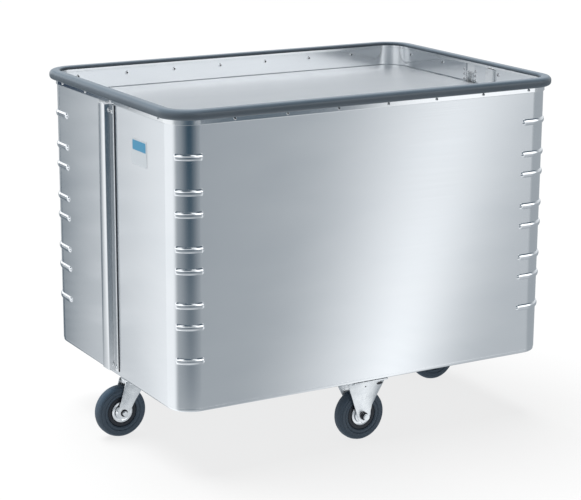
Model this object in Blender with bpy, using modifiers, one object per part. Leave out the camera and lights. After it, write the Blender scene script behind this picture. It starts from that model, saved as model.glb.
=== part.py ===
"""Spring-floor laundry cart: an aluminium box on four castors, with a false floor that sinks under load.

Metres, +Z up. X runs along the cart, the long front wall faces -Y, and the floor it rolls on is z = 0.
The cart has half-turn symmetry about Z: every piece of the right-hand end is the left-hand one turned round.
"""

import math

import bmesh
import bpy

# Box
BODY_L = 1.000
BODY_W = 0.688
CORNER_R = 0.057
CORNER_STEPS = 6
SHEET = 0.002
GAP = 0.0003
BODY_BOTTOM = 0.158
BAND_HEIGHT = 0.0085
TRAY_WALL_TOP = 0.190
STRIP_BOTTOM = 0.803
RIM_TOP = 0.837

# Pressed beads that wrap the corners
BEAD_FIRST = 0.118
BEAD_STEPS = (0.0775, 0.049)
BEAD_COUNT = 8
BEAD_HALF = 0.006
BEAD_HEIGHT = 0.004
BEAD_RAMP = 0.008
SHORT_BEAD_SKIP = 2
LONG_BEAD_LEAD = 0.030
LONG_BEAD_TAIL = 0.048

# End slots and the columns over them
SEAM_OFFSET = 0.007
SLOT_W = 0.036
COLUMN_W = 0.036
COLUMN_DEPTH = 0.016
COLUMN_FOOT = 0.020
COLUMN_BOTTOM = 0.170
SCREW_OFFSET = 0.029
SCREW_HEIGHTS = (0.180, 0.787)

# Rim and bumper
STRIP_T = 0.0025
RAIL_TOP = 0.831
RAIL_ROOF = 0.0025
INNER_LEG_T = 0.0022
INNER_LEG_BOTTOM = 0.8225
BUMPER_OVERHANG = 0.018
BUMPER_BOTTOM = 0.815
BUMPER_LIP_T = 0.0027
BUMPER_LIP_BOTTOM = 0.829
BUMPER_CHAMFER = 0.006

# Sprung floor
FLOOR_TOP = 0.777
FLOOR_CLEARANCE = 0.004
SKIRT_HEIGHT = 0.035
RIB_Y = 0.160
RIB_LENGTH = 0.900
RIB_W = 0.030
RIB_DEPTH = 0.018
GUIDE_Y = 0.096
GUIDE_W = 0.031
GUIDE_DEPTH = 0.007
SPRING_R = 0.0063
SPRING_SPREAD = 0.0078
SPRING_DEPTH = 0.006
SHELF_BOTTOM = 0.744
YOKE_BOTTOM = 0.600

# Castors
WHEEL_R = 0.0625
TYRE_W = 0.032
TYRE_BORE = 0.037
CENTRE_R = 0.0367
HUB_R = 0.0265
HUB_W = 0.039
AXLE_R = 0.0058
FORK_INNER = 0.0205
FORK_T = 0.003
SWIVEL_X = 0.4475
TRAIL = 0.038
FIXED_Y = 0.292
CROWN_TOP = 0.1442
BRACKET_FLARE = 0.028
BRACKET_KNEE = 0.088
PLATE_TOP = BODY_BOTTOM - GAP
PLATE_T = 0.004

HALF_L = BODY_L / 2
HALF_W = BODY_W / 2
# The left-hand wheel trails past the bumper, so the box stands this far to the right of the origin.
BODY_X = (SWIVEL_X + TRAIL + WHEEL_R - HALF_L - BUMPER_OVERHANG) / 2


def clear_scene():
    for obj in list(bpy.data.objects):
        bpy.data.objects.remove(obj, do_unlink=True)


def new_collection(name):
    collection = bpy.data.collections.new(name)
    bpy.context.scene.collection.children.link(collection)
    return collection


def material(name, colour, roughness, metallic):
    mat = bpy.data.materials.new(name)
    mat.use_nodes = True
    shader = mat.node_tree.nodes["Principled BSDF"]
    shader.inputs["Base Color"].default_value = (*colour, 1)
    shader.inputs["Roughness"].default_value = roughness
    shader.inputs["Metallic"].default_value = metallic
    return mat


clear_scene()
PARTS = new_collection("laundry_cart")
CUTTERS = new_collection("cutters")
ALUMINIUM = material("satin_aluminium", (0.72, 0.74, 0.77), 0.35, 1.0)
PROFILE = material("aluminium_profile", (0.78, 0.80, 0.82), 0.28, 1.0)
BUMPER = material("grey_bumper", (0.19, 0.23, 0.27), 0.55, 0.0)
ZINC = material("zinc_plate", (0.66, 0.68, 0.70), 0.30, 1.0)
TYRE = material("grey_rubber", (0.11, 0.14, 0.17), 0.70, 0.0)
BLACK = material("black_nylon", (0.010, 0.013, 0.022), 0.45, 0.0)
NYLON = material("white_nylon", (0.80, 0.80, 0.78), 0.50, 0.0)
SPRING_STEEL = material("spring_steel", (0.45, 0.46, 0.48), 0.30, 1.0)


def empty(name, location, parent=None, turn=0.0):
    obj = bpy.data.objects.new(name, None)
    PARTS.objects.link(obj)
    obj.location = location
    obj.rotation_euler.z = turn
    obj.parent = parent
    return obj


def place(name, mesh, mat, parent, collection=PARTS):
    obj = bpy.data.objects.new(name, mesh)
    collection.objects.link(obj)
    obj.parent = parent
    if not mesh.materials:
        mesh.materials.append(mat)
    return obj


def finish_mesh(name, bm, closed=True):
    """Write the mesh; a closed one first gets its faces turned outwards."""
    if closed:
        bmesh.ops.recalc_face_normals(bm, faces=bm.faces)
    mesh = bpy.data.meshes.new(name)
    bm.to_mesh(mesh)
    bm.free()
    return mesh


def prism(name, outline, low, high, axis, mat, parent, collection=PARTS):
    """A flat outline carried from low to high along axis X, Y or Z."""
    lay = {"X": lambda a, b: (low, a, b), "Y": lambda a, b: (a, low, b), "Z": lambda a, b: (a, b, low)}[axis]
    step = [high - low if letter == axis else 0.0 for letter in "XYZ"]
    bm = bmesh.new()
    face = bm.faces.new([bm.verts.new(lay(a, b)) for a, b in outline])
    grown = bmesh.ops.extrude_face_region(bm, geom=[face])
    moved = [item for item in grown["geom"] if isinstance(item, bmesh.types.BMVert)]
    bmesh.ops.translate(bm, verts=moved, vec=step)
    return place(name, finish_mesh(name, bm), mat, parent, collection)


def rectangle(a0, a1, b0, b1):
    return [(a0, b0), (a1, b0), (a1, b1), (a0, b1)]


def box(name, x, y, z, mat, parent, collection=PARTS):
    return prism(name, rectangle(*x, *y), *z, "Z", mat, parent, collection)


def turned(name, profile, steps, mat, parent, closed=False, along_y=False, collection=PARTS):
    """A profile of (radius, height) points turned about Z, or about Y for wheels and axles."""
    mesh = bpy.data.meshes.new(name)
    count = len(profile)
    edges = [(i, i + 1) for i in range(count - 1)]
    if closed:
        edges.append((count - 1, 0))
    mesh.from_pydata([(r, 0, z) for r, z in profile], edges, [])
    obj = place(name, mesh, mat, parent, collection)
    screw = obj.modifiers.new("turn", "SCREW")
    screw.steps = steps
    screw.render_steps = steps
    screw.use_merge_vertices = True
    screw.merge_threshold = 0.00001
    screw.use_smooth_shade = True
    if along_y:
        obj.rotation_euler.x = -math.pi / 2
    return obj


def combine(obj, other, operation):
    """Cut, join or intersect obj with a hidden helper solid."""
    other.hide_render = True
    other.display_type = "WIRE"
    boolean = obj.modifiers.new(operation.lower(), "BOOLEAN")
    boolean.operation = operation
    boolean.solver = "EXACT"
    boolean.object = other


def cut_hole(obj, name, radius, low, high, parent, x=0.0, y=0.0, steps=20):
    cutter = turned(name, [(0, high), (radius, high), (radius, low), (0, low)], steps, BLACK, parent,
                    collection=CUTTERS)
    cutter.location = (x, y, 0)
    combine(obj, cutter, "DIFFERENCE")


def arc(centre_a, centre_b, radius, start, end, steps):
    points = []
    for i in range(steps + 1):
        angle = math.radians(start + (end - start) * i / steps)
        points.append((centre_a + radius * math.cos(angle), centre_b + radius * math.sin(angle)))
    return points


def box_outline(offset):
    """The box's rounded outline, moved out from the outer wall face by offset."""
    points = []
    corner = CORNER_R + offset
    reach_x = HALF_L - CORNER_R
    reach_y = HALF_W - CORNER_R
    for number, (side_x, side_y) in enumerate(((1, 1), (-1, 1), (-1, -1), (1, -1))):
        start = 90 * number
        points += arc(side_x * reach_x, side_y * reach_y, corner, start, start + 90, CORNER_STEPS)
    return points


def outlined(name, rings, mat, parent, closed=False):
    """A loft through the outlines at the (offset, height) of each ring, with flat caps unless closed."""
    bm = bmesh.new()
    loops = [[bm.verts.new((x, y, height)) for x, y in box_outline(offset)] for offset, height in rings]
    pairs = list(zip(loops, loops[1:]))
    if closed:
        pairs.append((loops[-1], loops[0]))
    else:
        bm.faces.new(loops[0])
        bm.faces.new(loops[-1])
    for first, second in pairs:
        for i in range(len(first)):
            bm.faces.new((first[i - 1], first[i], second[i], second[i - 1]))
    return place(name, finish_mesh(name, bm), mat, parent)


def wall_path():
    """Corner stations of the front shell's outer face, from the left-hand slot to the right-hand one."""
    left = SEAM_OFFSET - SLOT_W / 2
    right = -SEAM_OFFSET - SLOT_W / 2
    turn = CORNER_R * math.pi / 2
    leaf_left = left + HALF_W - CORNER_R
    front = BODY_L - 2 * CORNER_R
    leaf_right = right + HALF_W - CORNER_R
    stations = [0.0]
    for length in (leaf_left, turn, front, turn, leaf_right):
        stations.append(stations[-1] + length)
    return left, stations


def wall_point(s):
    """Point and outward direction of the front shell's outer face at length s."""
    left, (_, corner_a, front, corner_b, leaf, _) = wall_path()
    side = HALF_L - CORNER_R
    low = -HALF_W + CORNER_R
    if s <= corner_a:
        return (-HALF_L, left - s), (-1.0, 0.0)
    if s <= front:
        angle = math.pi + (s - corner_a) / CORNER_R
        out = (math.cos(angle), math.sin(angle))
        return (-side + CORNER_R * out[0], low + CORNER_R * out[1]), out
    if s <= corner_b:
        return (-side + s - front, -HALF_W), (0.0, -1.0)
    if s <= leaf:
        angle = 1.5 * math.pi + (s - corner_b) / CORNER_R
        out = (math.cos(angle), math.sin(angle))
        return (side + CORNER_R * out[0], low + CORNER_R * out[1]), out
    return (HALF_L, low + s - leaf), (1.0, 0.0)


def bead_spans():
    """Start, full height, full height and end of the bead at each corner, as lengths along the sheet."""
    _, (_, corner_a, front, corner_b, leaf, _) = wall_path()
    facet = (front - corner_a) / CORNER_STEPS
    start = corner_a + SHORT_BEAD_SKIP * facet
    return (
        (start, start + facet, front, front + BEAD_RAMP),
        (corner_b - LONG_BEAD_LEAD, corner_b - LONG_BEAD_LEAD + BEAD_RAMP,
         leaf + LONG_BEAD_TAIL - BEAD_RAMP, leaf + LONG_BEAD_TAIL),
    )


def bead_heights():
    heights = [BODY_BOTTOM + BEAD_FIRST]
    for i in range(BEAD_COUNT - 1):
        heights.append(heights[-1] + BEAD_STEPS[i % 2])
    return heights


def shell_mesh():
    """A wall sheet bent round two corners, with eight beads pressed out round each of them."""
    _, stations = wall_path()
    across = {round(s, 6) for s in stations}
    for start, end in ((stations[1], stations[2]), (stations[3], stations[4])):
        across.update(round(start + (end - start) * i / CORNER_STEPS, 6) for i in range(CORNER_STEPS))
    for span in bead_spans():
        across.update(round(s, 6) for s in span)
    across = sorted(across)
    up = [BODY_BOTTOM + BAND_HEIGHT]
    for height in bead_heights():
        up += [height - BEAD_HALF, height, height + BEAD_HALF]
    up.append(RAIL_TOP - RAIL_ROOF - 0.0005)
    bm = bmesh.new()
    bmesh.ops.create_grid(bm, x_segments=len(across) - 1, y_segments=len(up) - 1, size=1.0)
    columns = {value: i for i, value in enumerate(sorted({round(v.co.x, 5) for v in bm.verts}))}
    rows = {value: i for i, value in enumerate(sorted({round(v.co.y, 5) for v in bm.verts}))}
    for vert in bm.verts:
        s = across[columns[round(vert.co.x, 5)]]
        z = up[rows[round(vert.co.y, 5)]]
        rise = 0.0
        if z in bead_heights():
            for _, full_from, full_to, _ in bead_spans():
                if full_from - SHEET < s < full_to + SHEET:
                    rise = BEAD_HEIGHT
        (x, y), (out_x, out_y) = wall_point(s)
        vert.co = (x + out_x * rise, y + out_y * rise, z)
    return finish_mesh("shell", bm, closed=False)


def make_shells(cart):
    mesh = shell_mesh()
    for name, turn in (("front_shell", 0.0), ("rear_shell", math.pi)):
        shell = place(name, mesh, ALUMINIUM, cart)
        shell.rotation_euler.z = turn
        sheet = shell.modifiers.new("sheet", "SOLIDIFY")
        sheet.thickness = SHEET
        sheet.offset = -1.0


def make_rim(cart):
    inner = -SHEET - GAP
    strip = GAP + STRIP_T
    leg = inner - INNER_LEG_T
    roof = RAIL_TOP - RAIL_ROOF
    outlined("rim_rail", [(strip, STRIP_BOTTOM), (strip, RAIL_TOP), (leg, RAIL_TOP), (leg, INNER_LEG_BOTTOM),
                          (inner, INNER_LEG_BOTTOM), (inner, roof), (GAP, roof), (GAP, STRIP_BOTTOM)],
             PROFILE, cart, closed=True)
    groove_out = strip + GAP
    groove_in = leg - GAP
    groove_roof = RAIL_TOP + GAP
    lip = groove_in - BUMPER_LIP_T
    out = BUMPER_OVERHANG
    cut = BUMPER_CHAMFER
    section = [(groove_out, BUMPER_BOTTOM), (out - cut, BUMPER_BOTTOM), (out, BUMPER_BOTTOM + cut),
               (out, RIM_TOP - 0.008), (out - 0.0025, RIM_TOP - 0.0025), (out - 0.008, RIM_TOP),
               (groove_in + 0.002, RIM_TOP), (lip, RIM_TOP - 0.004), (lip, BUMPER_LIP_BOTTOM),
               (groove_in, BUMPER_LIP_BOTTOM), (groove_in, groove_roof), (groove_out, groove_roof)]
    outlined("rim_bumper", section, BUMPER, cart, closed=True)


def make_tray(cart):
    band = -0.001
    wall = -SHEET - GAP
    outlined("base_tray", [(band - 0.003, BODY_BOTTOM), (band, BODY_BOTTOM + 0.003),
                           (band, BODY_BOTTOM + BAND_HEIGHT - GAP), (wall, BODY_BOTTOM + BAND_HEIGHT - GAP),
                           (wall, TRAY_WALL_TOP), (wall - SHEET, TRAY_WALL_TOP),
                           (wall - SHEET, BODY_BOTTOM + 0.003)],
             ALUMINIUM, cart)


def hat_outline():
    """Section of the column over an end slot: x out of the left-hand wall, y from the slot's middle."""
    wall = -HALF_L - GAP
    face = -HALF_L - COLUMN_DEPTH
    half = COLUMN_W / 2
    foot = half + COLUMN_FOOT
    return [(wall, -foot), (wall - SHEET, -foot), (wall - SHEET, -half), (face, -half), (face, half),
            (wall - SHEET, half), (wall - SHEET, foot), (wall, foot), (wall, half - SHEET),
            (face + SHEET, half - SHEET), (face + SHEET, SHEET - half), (wall, SHEET - half)]


def make_column(side, seam):
    column = prism("guide_column_" + side, hat_outline(), COLUMN_BOTTOM, STRIP_BOTTOM - 0.0005, "Z", PROFILE,
                   seam)
    number = 0
    for y in (-SCREW_OFFSET, SCREW_OFFSET):
        for z in SCREW_HEIGHTS:
            number += 1
            spot = empty("column_screw_axis_%s_%d" % (side, number), (-HALF_L, y, z), seam)
            spot.rotation_euler.y = -math.pi / 2
            cut_hole(column, "screw_hole_%s_%d" % (side, number), 0.0034, -0.001, 0.006, spot, steps=10)
            turned("column_screw_%s_%d" % (side, number),
                   [(0, 0.0060), (0.0055, 0.0045), (0.0055, 0.0026), (0.0028, 0.0026), (0.0028, 0.0005),
                    (0, 0.0005)], 10, ZINC, spot)


def make_spring_gear(side, seam):
    """Anchor shelf and two tension springs inside the column, and the floor's yoke that they pull on."""
    face = -HALF_L - COLUMN_DEPTH + SHEET + 0.0005
    middle = -HALF_L - SPRING_DEPTH
    prism("spring_anchor_" + side,
          [(face, SHELF_BOTTOM), (face + 0.012, SHELF_BOTTOM), (face + 0.012, SHELF_BOTTOM + 0.004),
           (face + 0.003, SHELF_BOTTOM + 0.004), (face + 0.003, 0.796), (face, 0.796)],
          -0.0150, 0.0150, "Y", ZINC, seam)
    pin_z = YOKE_BOTTOM + 0.006
    pin_r = 0.003
    top = SHELF_BOTTOM - GAP
    low = pin_z + pin_r + GAP
    for number, y in enumerate((-SPRING_SPREAD, SPRING_SPREAD), 1):
        spring = turned("tension_spring_%s_%d" % (side, number),
                        [(0, top), (0.0012, top), (0.0012, top - 0.006), (SPRING_R, top - 0.010),
                         (SPRING_R, low + 0.010), (0.0012, low + 0.006), (0.0012, low), (0, low)],
                        10, SPRING_STEEL, seam)
        spring.location = (middle, y, 0)
    skirt = -HALF_L + SHEET + FLOOR_CLEARANCE + SHEET + GAP
    under = FLOOR_TOP - SHEET - 0.0005
    yoke = box("spring_yoke_" + side, (skirt, skirt + 0.003), (-0.030, 0.030), (YOKE_BOTTOM, under), ZINC,
               seam)
    neck = box("yoke_neck_" + side, (middle - 0.004, skirt + 0.001), (-0.004, 0.004),
               (YOKE_BOTTOM, YOKE_BOTTOM + 0.012), ZINC, seam, CUTTERS)
    combine(yoke, neck, "UNION")
    pin = turned("yoke_pin_" + side, [(0, 0.0135), (pin_r, 0.0135), (pin_r, -0.0135), (0, -0.0135)], 12, ZINC,
                 seam, along_y=True, collection=CUTTERS)
    pin.location = (middle, 0, pin_z)
    combine(yoke, pin, "UNION")


def make_guide(side, end):
    """Upright channel on the end wall and the nylon shoe under the floor that slides on it."""
    wall = -HALF_L + SHEET + GAP
    face = wall + GUIDE_DEPTH
    low = GUIDE_Y - GUIDE_W / 2
    high = GUIDE_Y + GUIDE_W / 2
    channel = [(wall, low), (face, low), (face, high), (wall, high), (wall, high - SHEET),
               (face - SHEET, high - SHEET), (face - SHEET, low + SHEET), (wall, low + SHEET)]
    prism("guide_rail_" + side, channel, TRAY_WALL_TOP + 0.0005, INNER_LEG_BOTTOM - 0.0005, "Z", PROFILE, end)
    back = -HALF_L + SHEET + FLOOR_CLEARANCE + SHEET + GAP
    run = 0.0004
    cheek = 0.0235
    wing = 0.040
    tip = wall + 0.001
    shoe = [(back + 0.010, GUIDE_Y - wing), (back + 0.010, GUIDE_Y + wing), (back, GUIDE_Y + wing),
            (back, GUIDE_Y + cheek), (tip, GUIDE_Y + cheek), (tip, high + run), (face + run, high + run),
            (face + run, low - run), (tip, low - run), (tip, GUIDE_Y - cheek), (back, GUIDE_Y - cheek),
            (back, GUIDE_Y - wing)]
    prism("guide_shoe_" + side, shoe, 0.700, FLOOR_TOP - SHEET - 0.0005, "Z", NYLON, end)


def make_floor(cart, ends):
    edge = -SHEET - FLOOR_CLEARANCE
    inside = edge - SHEET
    hem = FLOOR_TOP - SKIRT_HEIGHT
    floor = outlined("sprung_floor", [(inside, FLOOR_TOP - SHEET), (inside, hem), (edge, hem),
                                      (edge, FLOOR_TOP - 0.0025), (edge - 0.0025, FLOOR_TOP)],
                     ALUMINIUM, cart)
    reach = -HALF_L - edge
    for side, end in ends:
        notch = box("floor_notch_" + side, (reach - 0.002, reach + 0.0045),
                    (GUIDE_Y - 0.0245, GUIDE_Y + 0.0245), (hem - 0.01, FLOOR_TOP + 0.01), BLACK, end, CUTTERS)
        combine(floor, notch, "DIFFERENCE")
    top = FLOOR_TOP - SHEET - GAP
    for name, y in (("floor_rib_front", -RIB_Y), ("floor_rib_rear", RIB_Y)):
        half = RIB_W / 2
        section = [(y - half, top), (y - half, top - RIB_DEPTH), (y + half, top - RIB_DEPTH), (y + half, top),
                   (y + half - SHEET, top), (y + half - SHEET, top - RIB_DEPTH + SHEET),
                   (y - half + SHEET, top - RIB_DEPTH + SHEET), (y - half + SHEET, top)]
        prism(name, section, -RIB_LENGTH / 2, RIB_LENGTH / 2, "X", ALUMINIUM, cart)


def wheel(name, axle):
    """Tyre, nylon centre and metal hub on the axle's empty."""
    half = TYRE_W / 2
    shoulder = WHEEL_R - 0.003
    turned(name + "_tyre", [(TYRE_BORE, 0.013), (0.046, half), (0.055, half), (shoulder, half - 0.005),
                            (WHEEL_R, half - 0.010), (WHEEL_R, 0.010 - half), (shoulder, 0.005 - half),
                            (0.055, -half), (0.046, -half), (TYRE_BORE, -0.013)],
           28, TYRE, axle, closed=True, along_y=True)
    turned(name + "_wheel_centre", [(HUB_R + 0.0006, 0.011), (CENTRE_R, 0.0125), (CENTRE_R, -0.0125),
                                    (HUB_R + 0.0006, -0.011)],
           20, BLACK, axle, closed=True, along_y=True)
    face = HUB_W / 2
    bore = AXLE_R + 0.0004
    turned(name + "_hub", [(bore, face), (0.012, face), (HUB_R, 0.012), (HUB_R, -0.012), (0.012, -face),
                           (bore, -face)],
           20, ZINC, axle, closed=True, along_y=True)


def axle_set(name, axle):
    """Axle bolt with its head at the front, and the nut behind."""
    side = FORK_INNER + FORK_T + GAP
    turned(name + "_axle_bolt", [(0, side + 0.008), (AXLE_R, side + 0.008), (AXLE_R, -side), (0.0095, -side),
                                 (0.0095, -side - 0.005), (0, -side - 0.005)],
           16, ZINC, axle, along_y=True)
    nut = prism(name + "_axle_nut", arc(0, 0, 0.0105, 0, 300, 5), side, side + 0.0055, "Y", ZINC, axle)
    drill_axle(nut, name + "_nut", axle)


def fork_legs(name, profile, crown_top, mat, frame, flare=0.0):
    """A channel open downwards, trimmed to the side view of the legs.

    The legs stand straight up to the knee, and from there to the crown they spread by flare.
    """
    outer = FORK_INNER + FORK_T
    half = [(outer, 0.03), (outer + flare, crown_top)]
    if flare:
        half.insert(1, (outer, BRACKET_KNEE))
    inner = [(y - FORK_T, min(z, crown_top - FORK_T)) for y, z in half]
    around = [(-y, z) for y, z in half] + half[::-1] + inner + [(-y, z) for y, z in inner[::-1]]
    fork = prism(name, around, -0.08, 0.08, "X", mat, frame)
    side = prism(name + "_side_view", profile, -0.06, 0.06, "Y", mat, frame, CUTTERS)
    combine(fork, side, "INTERSECT")
    return fork


def drill_axle(fork, name, axle):
    drill = turned(name + "_axle_drill", [(0, 0.04), (AXLE_R + GAP, 0.04), (AXLE_R + GAP, -0.04), (0, -0.04)],
                   16, BLACK, axle, along_y=True, collection=CUTTERS)
    combine(fork, drill, "DIFFERENCE")


def swivel_castor(name, cart, x):
    post = empty(name + "_swivel_axis", (x, 0, 0), cart)
    axle = empty(name + "_axle_axis", (-TRAIL, 0, WHEEL_R), post)
    plate = box(name + "_top_plate", (-0.0425, 0.0425), (-0.0525, 0.0525), (PLATE_TOP - PLATE_T, PLATE_TOP),
                ZINC, post)
    cut_hole(plate, name + "_plate_hole", 0.0065, 0.14, 0.17, post)
    race_top = PLATE_TOP - PLATE_T - GAP
    race_low = CROWN_TOP + GAP
    turned(name + "_ball_race", [(0.0068, race_top), (0.020, race_top), (0.0245, race_top - 0.003),
                                 (0.0245, race_low + 0.002), (0.022, race_low), (0.0068, race_low)],
           20, ZINC, post, closed=True)
    boss = arc(-TRAIL, WHEEL_R, 0.015, 185, 335, 6)
    profile = [(-0.030, CROWN_TOP + 0.01), (-0.030, CROWN_TOP), (-0.033, 0.128)] + boss
    profile += [(0.021, 0.130), (0.0265, CROWN_TOP), (0.0265, CROWN_TOP + 0.01)]
    fork = fork_legs(name + "_fork", profile, CROWN_TOP, ZINC, post)
    drill_axle(fork, name, axle)
    cut_hole(fork, name + "_crown_hole", 0.0065, 0.13, 0.17, post)
    under = CROWN_TOP - FORK_T - GAP
    turned(name + "_king_bolt",
           [(0, PLATE_TOP - GAP), (0.006, PLATE_TOP - GAP), (0.006, under), (0.010, under),
            (0.010, under - 0.005), (0, under - 0.0065)],
           16, ZINC, post)
    axle_set(name, axle)
    wheel(name, axle)


def fixed_castor(name, cart, y):
    post = empty(name + "_bracket_axis", (0, y, 0), cart)
    axle = empty(name + "_axle_axis", (0, 0, WHEEL_R), post)
    boss = arc(0, WHEEL_R, 0.016, 195, 345, 6)
    crown = PLATE_TOP - 0.001
    profile = [(-0.048, crown + 0.01), (-0.048, crown - 0.012)] + boss
    profile += [(0.048, crown - 0.012), (0.048, crown + 0.01)]
    bracket = fork_legs(name + "_bracket", profile, crown, ZINC, post, BRACKET_FLARE)
    plate = box(name + "_plate", (-0.051, 0.051), (-0.0515, 0.0515), (PLATE_TOP - 0.0035, PLATE_TOP), ZINC,
                post, CUTTERS)
    combine(bracket, plate, "UNION")
    drill_axle(bracket, name, axle)
    axle_set(name, axle)
    wheel(name, axle)


def build():
    cart = empty("cart_frame", (BODY_X, 0, 0))
    make_shells(cart)
    make_rim(cart)
    make_tray(cart)
    ends = []
    for side, turn in (("left", 0.0), ("right", math.pi)):
        end = empty(side + "_end", (0, 0, 0), cart, turn)
        seam = empty(side + "_seam", (0, SEAM_OFFSET, 0), end)
        make_column(side, seam)
        make_spring_gear(side, seam)
        make_guide(side, end)
        ends.append((side, end))
    make_floor(cart, ends)
    swivel_castor("left_castor", cart, -SWIVEL_X)
    swivel_castor("right_castor", cart, SWIVEL_X)
    fixed_castor("front_castor", cart, -FIXED_Y)
    fixed_castor("rear_castor", cart, FIXED_Y)


build()
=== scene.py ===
"""Looks of the sprung-floor laundry cart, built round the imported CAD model.

Metres, +Z up. X runs along the cart and the long front wall faces -Y. The box has half-turn symmetry about
its middle, so each of its pieces at the right-hand end is the left-hand one turned round.
"""

from math import atan, atan2, copysign, cos, degrees, exp, hypot, pi, radians, sin, tan

import bmesh
import bpy
from mathutils import Matrix, Vector


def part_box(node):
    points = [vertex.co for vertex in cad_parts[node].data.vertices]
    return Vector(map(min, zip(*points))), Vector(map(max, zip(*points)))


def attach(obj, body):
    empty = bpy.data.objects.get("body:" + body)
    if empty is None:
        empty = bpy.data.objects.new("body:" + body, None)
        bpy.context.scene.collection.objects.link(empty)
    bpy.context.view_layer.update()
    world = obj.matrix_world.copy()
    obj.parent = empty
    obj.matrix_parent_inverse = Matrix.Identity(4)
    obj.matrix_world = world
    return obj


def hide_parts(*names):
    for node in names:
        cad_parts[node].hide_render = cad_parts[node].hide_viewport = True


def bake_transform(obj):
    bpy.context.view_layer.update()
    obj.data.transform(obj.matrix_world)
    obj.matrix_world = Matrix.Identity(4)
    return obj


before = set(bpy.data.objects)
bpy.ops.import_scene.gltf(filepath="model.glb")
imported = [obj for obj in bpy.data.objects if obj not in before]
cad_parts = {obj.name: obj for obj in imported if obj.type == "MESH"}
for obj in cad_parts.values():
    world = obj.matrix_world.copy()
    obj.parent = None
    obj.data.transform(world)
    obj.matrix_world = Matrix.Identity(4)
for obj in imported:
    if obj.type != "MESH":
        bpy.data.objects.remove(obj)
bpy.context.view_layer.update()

LOW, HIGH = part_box("rim_bumper")
BX = (LOW.x + HIGH.x) / 2
RIM_TOP = HIGH.z
HALF_L = 0.500
HALF_W = 0.344
CORNER_R = 0.057
SHEET = 0.002
GAP = 0.0003      # clearance between neighbouring pieces
ARC_STEPS = 20    # steps round each corner of the box
GUARD = 0.0015    # reach of the extra points that keep flat stretches' shading flat
BODY_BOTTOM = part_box("base_tray")[0].z
SHELL_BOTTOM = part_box("front_shell")[0].z
STRIP_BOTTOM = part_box("rim_rail")[0].z
HEM, FLOOR_TOP = [end.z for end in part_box("sprung_floor")]
SEAM_OFFSET = 0.007
SLOT_W = 0.036
WORLD = Matrix.Identity(4)
ALONG_Y = Matrix.Rotation(pi / 2, 4, "X")
MIDDLE = Matrix.Translation((BX, 0, 0))
ENDS = {"left": MIDDLE, "right": MIDDLE @ Matrix.Rotation(pi, 4, "Z")}
SEAMS = {side: end @ Matrix.Translation((0, SEAM_OFFSET, 0)) for side, end in ENDS.items()}
CASTORS = ("left", "right", "front", "rear")


# ---------------------------------------------------------------- mesh code

def rounded(points, steps=4, closed=True):
    """Points (a, b) or (a, b, radius) with each radius turned into an arc."""
    out = []
    count = len(points)
    for i, point in enumerate(points):
        radius = point[2] if len(point) > 2 else 0.0
        here = Vector(point[:2])
        if radius <= 0 or (not closed and i in (0, count - 1)):
            out.append(tuple(here))
            continue
        before = (Vector(points[i - 1][:2]) - here).normalized()
        after = (Vector(points[(i + 1) % count][:2]) - here).normalized()
        half = before.angle(after) / 2
        reach = radius / tan(half)
        centre = here + (before + after).normalized() * (radius / sin(half))
        start = here + before * reach - centre
        end = here + after * reach - centre
        turn = start.angle_signed(end)
        for k in range(steps + 1):
            spoke = start.copy()
            spoke.rotate(Matrix.Rotation(-turn * k / steps, 2))
            out.append(tuple(centre + spoke))
    return out


def outline(offset):
    """The box's rounded outline, moved out from the outer wall face by offset.

    A point just past each arc's ends keeps the flat walls' shading flat.
    """
    points = []
    radius = CORNER_R + offset
    for number, (side_x, side_y) in enumerate(((1, 1), (-1, 1), (-1, -1), (1, -1))):
        arc = []
        for k in range(ARC_STEPS + 1):
            angle = pi / 2 * (number + k / ARC_STEPS)
            arc.append(Vector((side_x * (HALF_L - CORNER_R) + radius * cos(angle),
                               side_y * (HALF_W - CORNER_R) + radius * sin(angle))))
        start, end = pi / 2 * number, pi / 2 * (number + 1)
        arc.insert(0, arc[0] + Vector((sin(start), -cos(start))) * GUARD)
        arc.append(arc[-1] + Vector((-sin(end), cos(end))) * GUARD)
        points += [tuple(p) for p in arc]
    return points


def loft(rings, closed=False, caps=True, wrap=True):
    """Vertices and faces through rings of 3-D points."""
    count = len(rings[0])
    verts = [p for ring in rings for p in ring]
    faces = []
    last = len(rings) if closed else len(rings) - 1
    for r in range(last):
        a = r * count
        b = ((r + 1) % len(rings)) * count
        for i in range(count if wrap else count - 1):
            j = (i + 1) % count
            faces.append((a + i, a + j, b + j, b + i))
    if caps and not closed:
        faces.append(tuple(range(count))[::-1])
        faces.append(tuple(range((len(rings) - 1) * count, len(rings) * count)))
    return verts, faces


def outline_rings(section):
    """The box's outline at each (offset, z) of a section."""
    return [[(x, y, z) for x, y in outline(offset)] for offset, z in section]


def lathed(profile, steps=48, closed=False):
    """(radius, height) points turned about Z."""
    rings = []
    for radius, height in profile:
        reach = max(radius, 1e-6)
        turns = [2 * pi * i / steps for i in range(steps)]
        rings.append([(reach * cos(turn), reach * sin(turn), height) for turn in turns])
    return loft(rings, closed=closed)


def extruded(outline_2d, low, high, axis="Z"):
    """A flat outline carried from low to high along an axis."""
    place = {"X": (2, 0, 1), "Y": (0, 2, 1), "Z": (0, 1, 2)}[axis]
    return loft([[tuple((a, b, c)[k] for k in place) for a, b in outline_2d] for c in (low, high)])


def rectangle(low, high, radius, steps=4):
    """Outline from corner low to corner high, with rounded corners."""
    (a, b), (c, d) = low, high
    return rounded([(a, b, radius), (c, b, radius), (c, d, radius), (a, d, radius)], steps)


def twinned(half, middle=0.0, along=1):
    """Half an outline closed by its mirror image: coordinate number along runs out from the middle."""
    sides = []
    for sign, points in ((1, half), (-1, half[::-1])):
        for point in points:
            spot = list(point)
            spot[along] = middle + sign * point[along]
            sides.append(tuple(spot))
    return sides


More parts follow.
